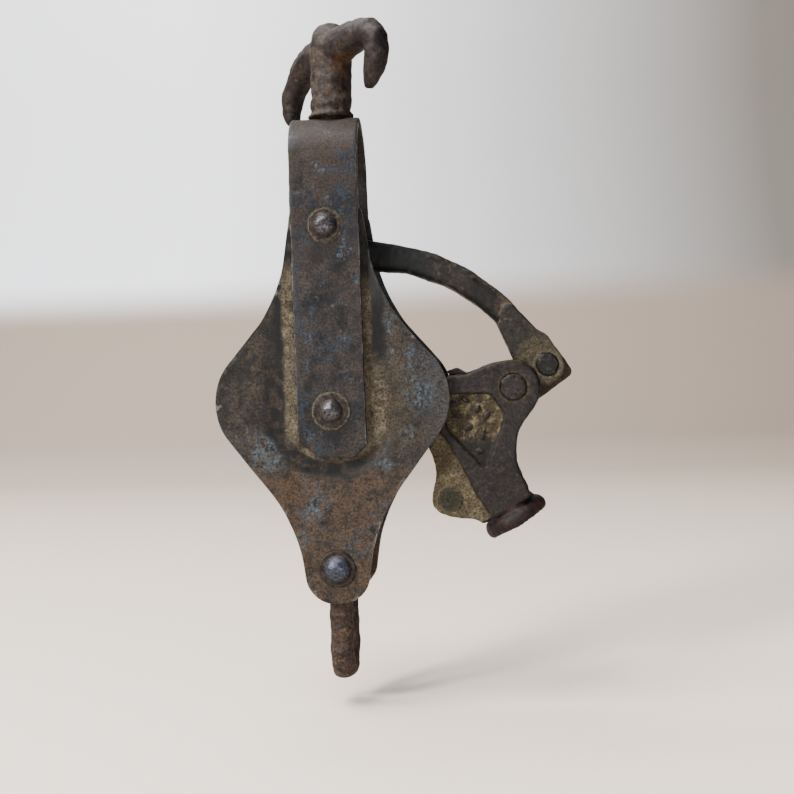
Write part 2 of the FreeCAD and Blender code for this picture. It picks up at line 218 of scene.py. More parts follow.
def skin(solids, grain, cutters=None):
    """One skin over overlapping solids, less the cutters, as a casting or a forging has."""
    blank = workpiece(solids)
    used = [blank]
    if cutters:
        tool = workpiece(cutters)
        used.append(tool)
        cut = blank.modifiers.new("cut", "BOOLEAN")
        cut.operation = "DIFFERENCE"
        cut.solver = "EXACT"
        cut.use_self = True
        cut.object = tool
    remesh = blank.modifiers.new("skin", "REMESH")
    remesh.mode = "VOXEL"
    remesh.voxel_size = grain
    ready = blank.evaluated_get(bpy.context.evaluated_depsgraph_get())
    mesh = bpy.data.meshes.new_from_object(ready)
    bm = bmesh.new()
    bm.from_mesh(mesh)
    bpy.data.meshes.remove(mesh)
    for obj in used:
        bpy.data.meshes.remove(obj.data)
    return bm


def soften(bm, passes):
    """Rounds the edges over, as casting and long handling do."""
    for _ in range(passes):
        bmesh.ops.smooth_vert(bm, verts=bm.verts, factor=0.5, use_axis_x=True, use_axis_y=True,
                              use_axis_z=True)
    return bm


def dent(bm, depth, spread):
    """Moves the surface in and out by up to depth, in lumps of about spread."""
    bm.normal_update()
    shifts = [vert.normal * depth * noise.noise(vert.co / spread) for vert in bm.verts]
    for vert, shift in zip(bm.verts, shifts):
        vert.co += shift
    return bm


def crossed(bm, x_step, z_step):
    """Cuts a shape across at even steps in X and Z, so that it can be bent and dented."""
    for axis, step in ((Vector((1, 0, 0)), x_step), (UP, z_step)):
        reach = [vert.co.dot(axis) for vert in bm.verts]
        count = int((max(reach) - min(reach)) / step)
        for k in range(1, count + 1):
            cut_at = axis * (min(reach) + k * step)
            bmesh.ops.bisect_plane(bm, geom=bm.verts[:] + bm.edges[:] + bm.faces[:], plane_co=cut_at,
                                   plane_no=axis)
    return bm


def drawn_on(bm, edges, shift):
    """Extends open edges into walls, and gives the edges at the far end."""
    made = bmesh.ops.extrude_edge_only(bm, edges=edges)["geom"]
    verts = [item for item in made if isinstance(item, bmesh.types.BMVert)]
    bmesh.ops.translate(bm, verts=verts, vec=shift)
    return [item for item in made if isinstance(item, bmesh.types.BMEdge) and set(item.verts) <= set(verts)]


def close_holes(bm):
    """Closes every open end with a face."""
    bmesh.ops.holes_fill(bm, edges=[edge for edge in bm.edges if edge.is_boundary])


def flipped(bm):
    """The mirror image in the plane Y = 0."""
    bmesh.ops.scale(bm, verts=bm.verts, vec=(1, -1, 1))
    bmesh.ops.recalc_face_normals(bm, faces=bm.faces)
    return bm


def piece(bm, name, body, material, stands_for=None, crease=40):
    """Makes the finished object of a shape, and has it ride on a body and stand for its node."""
    bmesh.ops.translate(bm, verts=bm.verts, vec=AXLE)
    bmesh.ops.scale(bm, verts=bm.verts, vec=(MM, MM, MM))
    mesh = bpy.data.meshes.new(name)
    for face in bm.faces:
        face.smooth = True
    bm.to_mesh(mesh)
    bm.free()
    mesh.set_sharp_from_angle(angle=math.radians(crease))
    mesh.materials.append(material)
    obj = bpy.data.objects.new(name, mesh)
    bpy.context.scene.collection.objects.link(obj)
    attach(obj, body)
    if stands_for:
        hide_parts(stands_for)
    return obj


# ---- block ----------------------------------------------------------------------------------

def strap():
    """Flat bar bent over the top, its lower corners clipped."""
    bm = bmesh.new()
    half = STRAP_HALF_WIDTH
    section = [(-half, -STRAP_OUTER), (half, -STRAP_OUTER), (half, -STRAP_INNER), (-half, -STRAP_INNER)]
    start = [bm.verts.new((x, y, STRAP_END)) for x, y in section]
    edges = [bm.edges.new((start[i - 1], start[i])) for i in range(4)]
    edges = drawn_on(bm, edges, UP * (STRAP_SPRING - STRAP_END))
    verts = {vert for edge in edges for vert in edge.verts}
    crown = bmesh.ops.spin(bm, geom=list(verts) + edges, cent=UP * STRAP_SPRING, axis=Vector((-1, 0, 0)),
                           angle=math.pi, steps=24)
    edges = [item for item in crown["geom_last"] if isinstance(item, bmesh.types.BMEdge)]
    drawn_on(bm, edges, UP * (STRAP_END - STRAP_SPRING))
    close_holes(bm)
    for corner, lean in ((Vector((half, 0, STRAP_END + RIGHT_CLIP)), Vector((1, 0, -1))),
                         (Vector((-half, 0, STRAP_END + LEFT_CLIP)), Vector((-LEFT_CLIP, 0, -6.5)))):
        bmesh.ops.bisect_plane(bm, geom=bm.verts[:] + bm.edges[:] + bm.faces[:], plane_co=corner,
                               plane_no=lean, clear_outer=True)
        close_holes(bm)
    bmesh.ops.recalc_face_normals(bm, faces=bm.faces)
    sharp = [edge for edge in bm.edges if edge.calc_face_angle(0) > math.radians(30)]
    bmesh.ops.bevel(bm, geom=sharp, offset=0.35, affect="EDGES", segments=2, profile=0.5,
                    clamp_overlap=True, material=-1)
    crossed(bm, 1.5, 1.5)
    return dent(dent(bm, 0.25, 17), 0.12, 4)


# Right half of the plate's outline, from the top down: (x, z, radius).
PLATE_CORNERS = [(10.6, 70.8, 10.4), (15.9, 36.3, 42.7), (43.5, 3.9, 19.1), (12.8, -36.5, 48.3),
                 (9.2, -62.6, 9.1)]
DISH_NECK = 13.0
DISH_RADIUS = 19.5
DISH_TOP = 14.0
DISH_SLOPE = 3.5
DISH_FILLET = 6.0


def dish_depth(x, z):
    """How far the pressed keyhole sinks at (x, z): 1 on its floor, 0 on the rim round it."""
    from_round = math.hypot(x, z - min(max(z, 0), DISH_TOP)) - DISH_RADIUS
    from_neck = abs(x) - DISH_NECK if z > DISH_TOP else from_round
    blend = max(DISH_FILLET - abs(from_round - from_neck), 0) / DISH_FILLET
    outside = min(from_round, from_neck) - blend * blend * 1.5 if z > DISH_TOP else from_round
    climb = min(max(outside / DISH_SLOPE, 0), 1)
    return 1 - climb * climb * (3 - 2 * climb)


def side_plate():
    """Pressed plate at the back; the front one is its mirror image."""
    mirrored = PLATE_CORNERS + [(-x, z, radius) for x, z, radius in reversed(PLATE_CORNERS)]
    bm = crossed(outline(mirrored, PLATE_RIM), 1.2, 1.2)
    for vert in bm.verts:
        vert.co.y -= DISH_DEPTH * dish_depth(vert.co.x, vert.co.z)
    inside = bmesh.ops.extrude_face_region(bm, geom=bm.faces[:])
    moved = [item for item in inside["geom"] if isinstance(item, bmesh.types.BMVert)]
    bmesh.ops.translate(bm, verts=moved, vec=DEEP * -PLATE_THICK)
    bmesh.ops.recalc_face_normals(bm, faces=bm.faces)
    rims = [edge for edge in bm.edges if edge.calc_face_angle(0) > math.radians(60)]
    bmesh.ops.bevel(bm, geom=rims, offset=0.3, affect="EDGES", segments=2, profile=0.5,
                    clamp_overlap=True, material=-1)
    return dent(dent(bm, 0.3, 21), 0.1, 5)


def rivet(place, shank, seat, washer, dome, height):
    """Rivet with a worn round head on a flat flange at each end, along Y."""
    flange = 0.55
    ball = (dome * dome + height * height) / (2 * height)
    head = [(shank, 0), (shank, seat), (washer, seat), (washer, seat + flange * 0.6),
            (washer - 0.35, seat + flange), (dome + 0.55, seat + flange * 0.8), (dome + 0.1, seat + flange)]
    for k in range(7):
        lean = math.asin(dome / ball) * (1 - k / 6)
        head.append((ball * math.sin(lean), seat + flange + height - ball * (1 - math.cos(lean))))
    profile = [(radius, -along) for radius, along in reversed(head[1:])] + head[1:]
    return dent(lathe(profile, place), 0.25, 2.6)


wheel_size = size("sheave")
SHEAVE_R = wheel_size.x / 2
HUB_HALF = wheel_size.y / 2
SHEAVE_HALF = 7.0
WEB_HALF = 5.0
WEB_R = 19.0
HUB_R = 11.0
HUB_BORE = 7.08
GROOVE_R = 5.2
GROOVE_CENTRE = 25.9


def rope_wheel():
    """Cast sheave with a long hub, a dished web and a round groove."""
    groove = []
    for k in range(9):
        turn = math.radians(-70 + 140 * k / 8)
        groove.append((GROOVE_CENTRE - GROOVE_R * math.cos(turn), GROOVE_R * math.sin(turn)))
    low_side = [(HUB_BORE, -HUB_HALF), (HUB_R - 0.6, -HUB_HALF), (HUB_R, -HUB_HALF + 0.6),
                (HUB_R + 0.4, -WEB_HALF - 0.3), (HUB_R + 1.4, -WEB_HALF), (WEB_R - 1, -WEB_HALF),
                (WEB_R, -SHEAVE_HALF + 0.3), (WEB_R + 0.5, -SHEAVE_HALF), (SHEAVE_R - 0.7, -SHEAVE_HALF),
                (SHEAVE_R, -SHEAVE_HALF + 0.6), (SHEAVE_R - 0.4, -GROOVE_R)]
    high_side = [(radius, -along) for radius, along in reversed(low_side)]
    return dent(lathe(low_side + groove + high_side + low_side[:1], CENTRE, steps=96), 0.15, 5)


# ---- swivel hook ----------------------------------------------------------------------------

# Stations down each horn: reach from the swivel's axis, height, width across, thickness.
HORN_ANGLE = -47.0
NEAR_HORN = [(0.0, 117.0, 12.0, 14.0), (6.5, 118.2, 11.0, 12.2), (12.5, 119.0, 10.0, 10.6),
             (18.0, 119.4, 9.4, 9.6), (22.6, 118.9, 9.0, 9.2), (25.5, 116.2, 8.6, 8.8),
             (25.6, 112.8, 8.0, 8.2), (24.8, 109.5, 7.4, 7.4), (23.4, 106.4, 6.4, 6.4),
             (22.1, 103.6, 5.2, 5.2), (21.3, 101.4, 3.0, 3.0)]
FAR_HORN = [(0.0, 116.6, 12.0, 13.4), (7.5, 117.2, 10.2, 10.8), (14.0, 114.9, 9.2, 9.2),
            (18.8, 110.9, 8.8, 8.6), (21.7, 107.2, 8.4, 7.8), (23.0, 103.9, 7.6, 7.2),
            (23.0, 101.0, 6.4, 6.2), (22.2, 98.4, 4.8, 4.6), (21.3, 96.6, 3.0, 2.8)]
COLLAR_GAP = 0.1
HEAD_LEAN = 0.7


def horn(angle, shape):
    """One horn of the hook, in an upright plane through the swivel's axis."""
    out = Vector((math.cos(math.radians(angle)), math.sin(math.radians(angle)), 0))
    across = out.cross(UP)
    axis = Vector((SWIVEL, 0, 0))
    centres = [axis + out * reach + UP * height for reach, height, width, thick in shape]
    stations = []
    for i, (reach, height, width, thick) in enumerate(shape):
        along = (centres[min(i + 1, len(shape) - 1)] - centres[max(i - 1, 0)]).normalized()
        normal = across.cross(along).normalized()
        stations.append((centres[i], across * (width / 2), normal * (thick / 2)))
    return drawn(stations)


def swivel_hook():
    """Double hook forged in one with its collared shank, riveted over under the washer."""
    collar = STRAP_SPRING + STRAP_OUTER + COLLAR_GAP
    low = middle("swivel_washer").z - AXLE.z - size("swivel_washer").z / 2
    shank = [(0, low - 2.6), (3.8, low - 2.4), (4.8, low - 1.4), (5.4, low), (4.5, low), (4.5, collar),
             (7.3, collar), (7.7, collar + 0.5), (7.6, collar + 1.2), (6.7, collar + 1.8),
             (6.6, collar + 2.6), (7.2, collar + 3.8), (6.8, collar + 6.0), (0, collar + 6.0)]
    head = [(0, collar + 4), (6.6, collar + 4), (6.7, collar + 9), (6.8, collar + 14), (6.8, collar + 19),
            (6.6, collar + 23.5), (6.0, collar + 26.5), (5.0, collar + 28.7), (3.4, collar + 30.4),
            (1.8, collar + 31.3), (0, collar + 31.5)]
    solids = gather(lathe(shank, Vector((SWIVEL, 0, 0)), UP),
                    lathe(head, Vector((SWIVEL + HEAD_LEAN, 0, 0)), UP),
                    horn(HORN_ANGLE, NEAR_HORN), horn(HORN_ANGLE + 180, FAR_HORN))
    forged = soften(skin(solids, 0.5), 4)
    return dent(dent(forged, 0.55, 6), 0.3, 2.4)


# ---- becket ---------------------------------------------------------------------------------

LOOP_FOOT = corners_of("becket")[0].z
LOOP_HALF = 7.8
LOOP_WIDE = 4.0
LOOP_THICK = 3.0
EYE_OUTER = 8.3
EYE_BORE = 5.28
EYE_HALF = 2.8


def becket():
    """Rod loop across the block, each leg flattened into an eye at the top."""
    bend = LOOP_FOOT + LOOP_THICK + LOOP_HALF
    wide = Vector((LOOP_WIDE, 0, 0))
    stations = [(Vector((0, -LOOP_HALF, FOOT.z - step * (FOOT.z - bend) / 6)), wide, DEEP * LOOP_THICK)
                for step in range(6)]
    for k in range(13):
        turn = math.pi * k / 12
        out = Vector((0, -math.cos(turn), -math.sin(turn)))
        stations.append((UP * bend + out * LOOP_HALF, wide, out * -LOOP_THICK))
    stations += [(Vector((0, LOOP_HALF, centre.z)), wide, DEEP * -LOOP_THICK)
                 for centre, _, _ in stations[5::-1]]
    eyes = [ring(FOOT, EYE_OUTER, EYE_BORE, side - EYE_HALF, side + EYE_HALF)
            for side in (-LOOP_HALF, LOOP_HALF)]
    bore = bar(FOOT, EYE_BORE, -12, 12)
    forged = soften(skin(gather(drawn(stations), *eyes), 0.45, bore), 3)
    return dent(dent(forged, 0.35, 5), 0.16, 1.6)


# ---- arm ------------------------------------------------------------------------------------

# Radii of the pins and of the holes they turn in.
TAIL_PIN_R = 3.6
TAIL_HOLE_R = 3.68
DOG_PIN_R = 4.25
DOG_HOLE_R = 4.33
PIVOT_HOLE_R = 4.08
EAR_HOLE_R = 2.6
THROUGH = 20

ARM_HALF = 4.6
ARM_EYE_R = 9.0
FORK_INNER = 2.9
FORK_OUTER = 5.9
HUB_ROOM = 8.5
ARM_BAR = [(-2.0, 62.5, 0), (12.8, 55.1, 12), (45.4, 48.4, 58.7), (66.4, 23.9, 5.9), (69.9, 22.1, 6.0),
           (77.4, 10.2, 5.4), (67.3, 3.9, 5.5), (59.3, 13.4, 6), (53.6, 26.2, 5.9), (38.7, 41.5, 49.5),
           (2.0, 47.0, 3)]
FORK_FLAT = [(57.6, 33.8, 2), (66.4, 23.9, 5.9), (69.9, 22.1, 6.0), (77.4, 10.2, 5.4), (67.3, 3.9, 5.5),
             (59.3, 13.4, 6), (53.6, 26.2, 4)]
FORK_GAP = [(60.5, 22.0, 2), (67.0, 22.5, 2), (90, 15, 0), (80, -5, 0), (55, -5, 0), (50, 10, 0)]


def lock_arm():
    """Curved round-edged arm: an eye on the pivot, a shoulder, and a fork for the dog's heel."""
    solids = gather(slab(ARM_BAR, -ARM_HALF, ARM_HALF, 2.6), slab(FORK_FLAT, -FORK_OUTER, FORK_OUTER, 0.5),
                    bar(PIVOT, ARM_EYE_R, -ARM_HALF, ARM_HALF))
    cutters = gather(slab(FORK_GAP, -FORK_INNER, FORK_INNER), bar(DOG_PIN, HUB_ROOM, -THROUGH, THROUGH),
                     bar(PIVOT, PIVOT_HOLE_R, -THROUGH, THROUGH),
                     bar(TAIL_PIN, TAIL_PIN_R, -THROUGH, THROUGH))
    forged = soften(skin(solids, 0.45, cutters), 3)
    return dent(dent(forged, 0.4, 7), 0.16, 1.7)


# ---- lock -----------------------------------------------------------------------------------

MOUTH = DOG_PIN + Vector((-0.8, 0, -42.2))
THROAT_TURN = math.radians(-60)
THROAT_AXIS = Vector((math.cos(THROAT_TURN), 0, math.sin(THROAT_TURN)))
THROAT_UP = Vector((-math.sin(THROAT_TURN), 0, math.cos(THROAT_TURN)))
THROAT_LENGTH = 30.0
THROAT_R = 7.5
BORE_R = 5.0
LIP_R = 8.1
LIP_BEAD = 2.9
CHEEK_INNER = 6.2
CHEEK_OUTER = 9.0
PANEL_DEPTH = 1.3
NOSE_HALF = 4.8
HEEL_HALF = 2.7
HUB_HALF_LONG = 6
HUB_ACROSS = 5.6
NOSE_REACH = 22.1
NOSE_ROOM = 22.4
TEETH = 6
TOOTH_PITCH = 3.0
TOOTH_DEPTH = 1.7
FIRST_TOOTH = -52


def in_throat(along, offset):
    """A point down the rope throat from its mouth, and offset to its upper right."""
    return MOUTH + THROAT_AXIS * along + THROAT_UP * offset


def lock_dog():
    """Toothed cam: six teeth above the rope, a hub on its pin, and a square heel."""
    teeth = []
    for k in range(TEETH):
        tip = in_throat(FIRST_TOOTH + TOOTH_PITCH * k, BORE_R)
        root = in_throat(FIRST_TOOTH + TOOTH_PITCH * (k + 0.3), BORE_R + TOOTH_DEPTH)
        teeth += [(tip.x, tip.z, 0), (root.x, root.z, 0)]
    last = in_throat(FIRST_TOOTH + TOOTH_PITCH * TEETH, BORE_R)
    nose = slab([(57.5, 14.2, 1), (43.2, 10.6, 0), (40.1, 12.3, 0)] + teeth
                + [(last.x, last.z, 0), (50.5, -6.0, 2), (60.0, -1.0, 2), (63.0, 8.0, 2)],
                -NOSE_HALF, NOSE_HALF)
    heel = slab([(72.0, 19.0, 3), (78.4, 9.4, 2.2), (65.5, 0.5, 6), (56.0, 0.4, 3), (54.0, 10.0, 3),
                 (64.0, 18.0, 5)], -HEEL_HALF, HEEL_HALF)
    hub = bar(DOG_PIN, HUB_ACROSS, -HUB_HALF_LONG, HUB_HALF_LONG)
    cutters = gather(bar(DOG_PIN, DOG_HOLE_R, -THROUGH, THROUGH),
                     bar(TAIL_PIN, TAIL_HOLE_R, -THROUGH, THROUGH),
                     ring(TAIL_PIN, 7.2, 3.0, 2.75, 9), ring(TAIL_PIN, 7.2, 3.0, -9, -2.75),
                     ring(DOG_PIN, 40, NOSE_REACH, -9, 9))
    cast = soften(skin(gather(nose, hub, heel), 0.4, cutters), 2)
    return dent(cast, 0.2, 2.5)


def cheek():
    """Back half of the cast lock: cover, panel, half of the rope throat, bell mouth and ear."""
    cover = slab([(36.6, 9.7, 1.5), (43.1, 9.8, 6), (50.0, 13.1, 20), (64.7, 15.4, 8.6), (67.7, 2.3, 8),
                  (55.9, -12.8, 16.8), (63.3, -29.9, 2), (50.5, -37.2, 2), (45.2, -28.5, 6),
                  (37.2, -12.0, 4), (32.4, -7.0, 3)], CHEEK_INNER, CHEEK_OUTER, 0.7)
    ear = slab([(48.0, -39.5, 2), (44.6, -37.6, 2.7), (30.8, -35.3, 5.4), (30.8, -29.8, 8),
                (32.8, -20.7, 8.7), (30.0, -12.8, 2), (32.5, -7.5, 2), (38.0, -9.0, 2),
                (52.0, -34.0, 2)], 3.0, 5.6, 0.5)
    panel = slab([(34.6, 3.8, 1.2), (51.0, 4.0, 3), (55.4, -3.0, 2.5), (48.9, -21.2, 1.2),
                  (36.5, -7.6, 1.2)], CHEEK_OUTER - PANEL_DEPTH, CHEEK_OUTER + 3)
    tube = [(0, -THROAT_LENGTH), (THROAT_R - 0.5, -THROAT_LENGTH), (THROAT_R, -THROAT_LENGTH + 0.8),
            (THROAT_R, -8), (THROAT_R + 0.3, -4.6), (THROAT_R + 1.3, -2.6), (THROAT_R + 1.3, 1), (0, 1)]
    bead = [(LIP_R + LIP_BEAD * math.cos(k * math.tau / 16), 0.7 + LIP_BEAD * math.sin(k * math.tau / 16))
            for k in range(17)]
    bore = [(0, -60), (BORE_R, -60), (BORE_R, -2.6), (BORE_R + 1.2, -0.6), (LIP_R + 1.4, 0.2),
            (LIP_R + 1.6, 5), (0, 5)]
    far_half = slab([(0, 40, 0), (100, 40, 0), (100, -80, 0), (0, -80, 0)], -20, 0)
    solids = gather(cover, ear, lathe(tube, MOUTH, THROAT_AXIS), lathe(bead, MOUTH, THROAT_AXIS))
    cutters = gather(panel, lathe(bore, MOUTH, THROAT_AXIS), far_half,
                     bar(DOG_PIN, NOSE_ROOM, -1, CHEEK_INNER),
                     bar(DOG_PIN, DOG_PIN_R, -THROUGH, THROUGH),
                     bar(EAR_PIN, EAR_HOLE_R, -THROUGH, THROUGH))
    cast = soften(skin(solids, 0.42, cutters), 3)
    return dent(dent(cast, 0.35, 6), 0.16, 1.7)


# Lumps in the panel: x, z, half length and turn in degrees.
LUMPS = ((38.6, 0.6, 1.6, 20), (43.0, 1.6, 1.3, -35), (46.6, -1.2, 1.6, 60), (40.2, -3.4, 1.6, -15),
         (49.4, -3.6, 1.8, 50), (43.4, -7.2, 1.8, 25), (48.0, -9.6, 2.2, 65), (46.8, -14.8, 1.3, 0))


def cast_lumps():
    """Rough lumps left by the foundry on the floor of the cheek's panel."""
    lumps = []
    for x, z, long, turn in LUMPS:
        lean = math.radians(turn)
        along = Vector((math.cos(lean), 0, math.sin(lean)))
        stretch = Matrix((along * long, DEEP * 0.85, along.cross(DEEP) * 1.05)).transposed().to_4x4()
        spot = Matrix.Translation((x, CHEEK_OUTER - PANEL_DEPTH, z))
        lump = bmesh.new()
        bmesh.ops.create_icosphere(lump, subdivisions=2, radius=1, matrix=spot @ stretch)
        lumps.append(lump)
    return lumps


def worn_pin(place, radius, half, coarser):
    """Pin with hammered flat ends and a small chamfer."""
    ends = [(0, half), (radius * 0.5, half), (radius - 0.5, half - 0.05), (radius, half - 0.5)]
    profile = [(r, -along) for r, along in ends] + [(r, along) for r, along in reversed(ends)]
    bm = lathe(profile, place)
    bmesh.ops.subdivide_edges(bm, edges=bm.edges, cuts=1)
    return dent(bm, 0.3, 1.7 + coarser)


# ---- finishes -------------------------------------------------------------------------------

def linear(code):
    """Blender's linear colour of an sRGB hex code."""
    parts = [int(code[i:i + 2], 16) / 255 for i in (0, 2, 4)]
    return [part / 12.92 if part <= 0.04045 else ((part + 0.055) / 1.055) ** 2.4 for part in parts] + [1.0]


def add(finish, kind, inputs=None, **settings):
    """Adds one node. Settings are its own; inputs are values, or outputs of other nodes to link."""
    made = finish.node_tree.nodes.new("ShaderNode" + kind)
    for key, value in settings.items():
        setattr(made, key, value)
    for key, value in (inputs or {}).items():
        if isinstance(value, bpy.types.NodeSocket):
            finish.node_tree.links.new(value, made.inputs[key])
        else:
            made.inputs[key].default_value = value
    return made


class Place:
    """A finish being mixed, and the point being coated, in millimetres from the axle."""

    def __init__(self, name):
        self.finish = bpy.data.materials.new(name)
        self.finish.use_nodes = True
        self.finish.node_tree.nodes.clear()
        metres = self.add("TexCoord").outputs["Object"]
        scaled = {0: metres, 1: (1 / MM,) * 3, 2: -AXLE}
        self.where = self.add("VectorMath", scaled, operation="MULTIPLY_ADD").outputs[0]
        parts = self.add("SeparateXYZ", {0: self.where}).outputs
        self.x, self.z = parts[0], parts[2]
        self.out = self.add("Math", {0: parts[1]}, operation="ABSOLUTE").outputs[0]
        self.side = self.add("Math", {0: parts[0]}, operation="ABSOLUTE").outputs[0]

    def add(self, kind, inputs=None, **settings):
        return add(self.finish, kind, inputs, **settings)

    def fade(self, value, low, high):
        """0 before low and 1 past high, smooth between. Low above high turns it round."""
        limits = {"Value": value, "From Min": low, "From Max": high}
        return self.add("MapRange", limits, interpolation_type="SMOOTHSTEP").outputs[0]

    def joined(self, masks, how):
        """One mask made of several."""
        result = masks[0]
        for mask in masks[1:]:
            result = self.add("Math", {0: result, 1: mask}, operation=how).outputs[0]
        return result

    def both(self, *masks):
        """Only where every mask is."""
        return self.joined(masks, "MULTIPLY")

    def either(self, *masks):
        """Where any mask is."""
        return self.joined(masks, "MAXIMUM")

    def uneven(self, value, amount, across=2.0):
        """A distance or height made to wander by up to half the amount either way."""
        grain = self.add("TexNoise", {"Vector": self.where, "Scale": 1 / across, "Detail": 4.0}).outputs[0]
        shifted = self.add("Math", {0: grain, 1: amount, 2: value}, operation="MULTIPLY_ADD").outputs[0]
        return self.add("Math", {0: shifted, 1: amount / 2}, operation="SUBTRACT").outputs[0]

    def blotches(self, across, low, high, shift=0.0):
        """Random patches about across millimetres wide; low and high set how much they cover."""
        moved = {0: self.where, 1: (shift, shift * 1.7, shift * 0.6)}
        spot = self.add("VectorMath", moved, operation="ADD").outputs[0]
        grain = {"Vector": spot, "Scale": 1 / across, "Detail": 5.0, "Roughness": 0.62}
        return self.fade(self.add("TexNoise", grain).outputs[0], low, high)

    def away(self, place, stretch=(1, 0, 1)):
        """Millimetres from a place, in the front view unless stretched otherwise."""
        flat = self.add("VectorMath", {0: self.where, 1: stretch}, operation="MULTIPLY").outputs[0]
        ends = {0: flat, 1: [place[i] * stretch[i] for i in range(3)]}
        return self.add("VectorMath", ends, operation="DISTANCE").outputs["Value"]

    def along(self, direction):
        """How far the point lies along a direction."""
        spot = {0: self.where, 1: direction}
        return self.add("VectorMath", spot, operation="DOT_PRODUCT").outputs["Value"]

    def near(self, place, inner, outer, wander=0.0, stretch=(1, 0, 1)):
        """1 within inner millimetres of a place and 0 beyond outer."""
        reach = self.away(place, stretch)
        if wander:
            reach = self.uneven(reach, wander)
        return self.fade(reach, outer, inner)

    def ring(self, place, inner, outer, soft=0.3, wander=0.8):
        """A ring of dirt about a pin or rivet."""
        reach = self.uneven(self.away(place), wander)
        return self.both(self.fade(reach, inner - soft, inner + soft),
                         self.fade(reach, outer + soft, outer - soft))

    def within(self, corners, soft=0.6):
        """Inside a convex outline of (x, z) corners that runs clockwise in the front view."""
        masks = []
        for i, (x, z) in enumerate(corners):
            before = corners[i - 1]
            inward = Vector((z - before[1], 0, before[0] - x)).normalized()
            depth = self.along(inward)
            edge = inward.dot(Vector((x, 0, z)))
            masks.append(self.fade(depth, edge - soft, edge + soft))
        return self.both(*masks)

    def worn(self, low=0.53, high=0.6):
        """Corners rubbed down."""
        return self.fade(self.add("NewGeometry").outputs["Pointiness"], low, high)

    def hollows(self, low=0.48, high=0.42):
        """Creases and pits, where dirt stays."""
        return self.fade(self.add("NewGeometry").outputs["Pointiness"], low, high)

    def upward(self, low=0.35, high=0.85):
        """Faces turned up, where dusty dirt settles; some finishes also paint light from above on them, or
        shade on the faces turned away.
        """
        normal = self.add("TexCoord").outputs["Normal"]
        return self.fade(self.add("SeparateXYZ", {0: normal}).outputs[2], low, high)

    def coated(self, coats, grain=0.7, depth=0.14):
        """Lays (mask, colour, roughness, metallic) coats on each other, the first all over.

        Pits about grain millimetres apart and up to depth deep are then worked into them. Real
        pits are finer: these are as coarse as they have to be to show."""
        _, code, rough, metal = coats[0]
        colour = linear(code)
        for mask, code, dull, share in coats[1:]:
            colour = self.add("Mix", {0: mask, 6: colour, 7: linear(code)}, data_type="RGBA").outputs[2]
            rough = self.add("Mix", {0: mask, 2: rough, 3: dull}).outputs[0]
            metal = self.add("Mix", {0: mask, 2: metal, 3: share}).outputs[0]
        pits = {"Vector": self.where, "Scale": 1 / grain, "Detail": 6.0, "Roughness": 0.7}
        height = self.add("TexNoise", pits).outputs[0]
        shade = {"Value": height, "From Min": 0.36, "From Max": 0.64, "To Min": 0.3, "To Max": 1.8}
        dark_pits = {0: 1.0, 6: colour, 7: self.add("MapRange", shade).outputs[0]}
        colour = self.add("Mix", dark_pits, data_type="RGBA", blend_type="MULTIPLY").outputs[2]
        bump = self.add("Bump", {"Height": height, "Strength": 0.8, "Distance": depth * MM}).outputs[0]
        shader = self.add("BsdfPrincipled", {"Base Color": colour, "Roughness": rough, "Metallic": metal,
                                             "Specular IOR Level": 0.15, "Normal": bump})
        self.add("OutputMaterial", {0: shader.outputs[0]})
        self.finish.diffuse_color = linear(coats[0][1])
        return self.finish


CLAY = "342f26"
PALE_CLAY = "443e32"
OIL = "040404"


def painted_strap_steel():
    """Mild steel bar, its navy paint mostly gone to fine brown-black pitting, corners rubbed bright."""
    at = Place("painted_strap_steel")
    upper = at.fade(at.z, 44, 60)
    paint = at.both(at.blotches(11, 0.5, 0.62, 90), at.blotches(1.6, 0.42, 0.6, 7))
    navy = at.both(upper, at.fade(at.z, 74, 68), at.blotches(6, 0.42, 0.54, 61),
                   at.blotches(1.4, 0.4, 0.56, 17))
    scuffs = at.both(at.blotches(6, 0.55, 0.68, 130), at.blotches(0.9, 0.46, 0.62, 3))
    # Over the crown the colour turns lighter and browner: partly dusty dirt, partly painted light from above.
    dust_and_top_light = at.fade(at.z, STRAP_SPRING + 8, STRAP_SPRING + 14)
    stain = at.either(at.near(PIVOT, 5.5, 7.5, 3), at.both(at.near(CENTRE, 7, 11, 3), at.fade(at.z, 4, -3)))
    clay = at.either(at.both(at.ring(PIVOT, 4.9, 5.6, 0.3, 1.6), at.blotches(3, 0.3, 0.5, 2)),
                     at.both(at.ring(CENTRE, 5.7, 6.1, 0.25, 1.2), at.blotches(4, 0.46, 0.56, 19)))
    corner = at.fade(at.side, STRAP_HALF_WIDTH - 0.5, STRAP_HALF_WIDTH - 0.1)
    return at.coated([
        (None, "1b1918", 0.5, 0.3),
        (at.blotches(4, 0.42, 0.6), "231d1a", 0.62, 0.15),
        (at.blotches(9, 0.46, 0.6, 40), "0f0f10", 0.45, 0.3),
        (at.both(upper, at.blotches(8, 0.36, 0.56, 25)), "1e1713", 0.6, 0.1),
        (navy, "080b12", 0.42, 0.0),
        (paint, "141a22", 0.42, 0.0),
        (scuffs, "2a323a", 0.45, 0.2),
        (at.both(stain, at.blotches(3, 0.3, 0.55, 12)), "0b0a0a", 0.5, 0.1),
        (at.both(dust_and_top_light, at.blotches(2, 0.25, 0.55)), "211b16", 0.8, 0.0),
        (clay, CLAY, 0.9, 0.0),
        (at.both(corner, at.blotches(3, 0.45, 0.6, 8)), "404040", 0.4, 0.6),
        (at.blotches(0.9, 0.74, 0.78, 33), "77736b", 0.8, 0.0)])


# Scraps of blue paint left on the plate: (x, z) and how far each reaches.
BLUE_SCRAPS = ((15.5, 37, 5), (18.5, 27, 6), (22.5, 15, 8), (27, 4, 9), (24, -8, 4), (-21, -13, 9),
               (-7, -30, 8), (-11, -42, 4), (16, -18, 5))


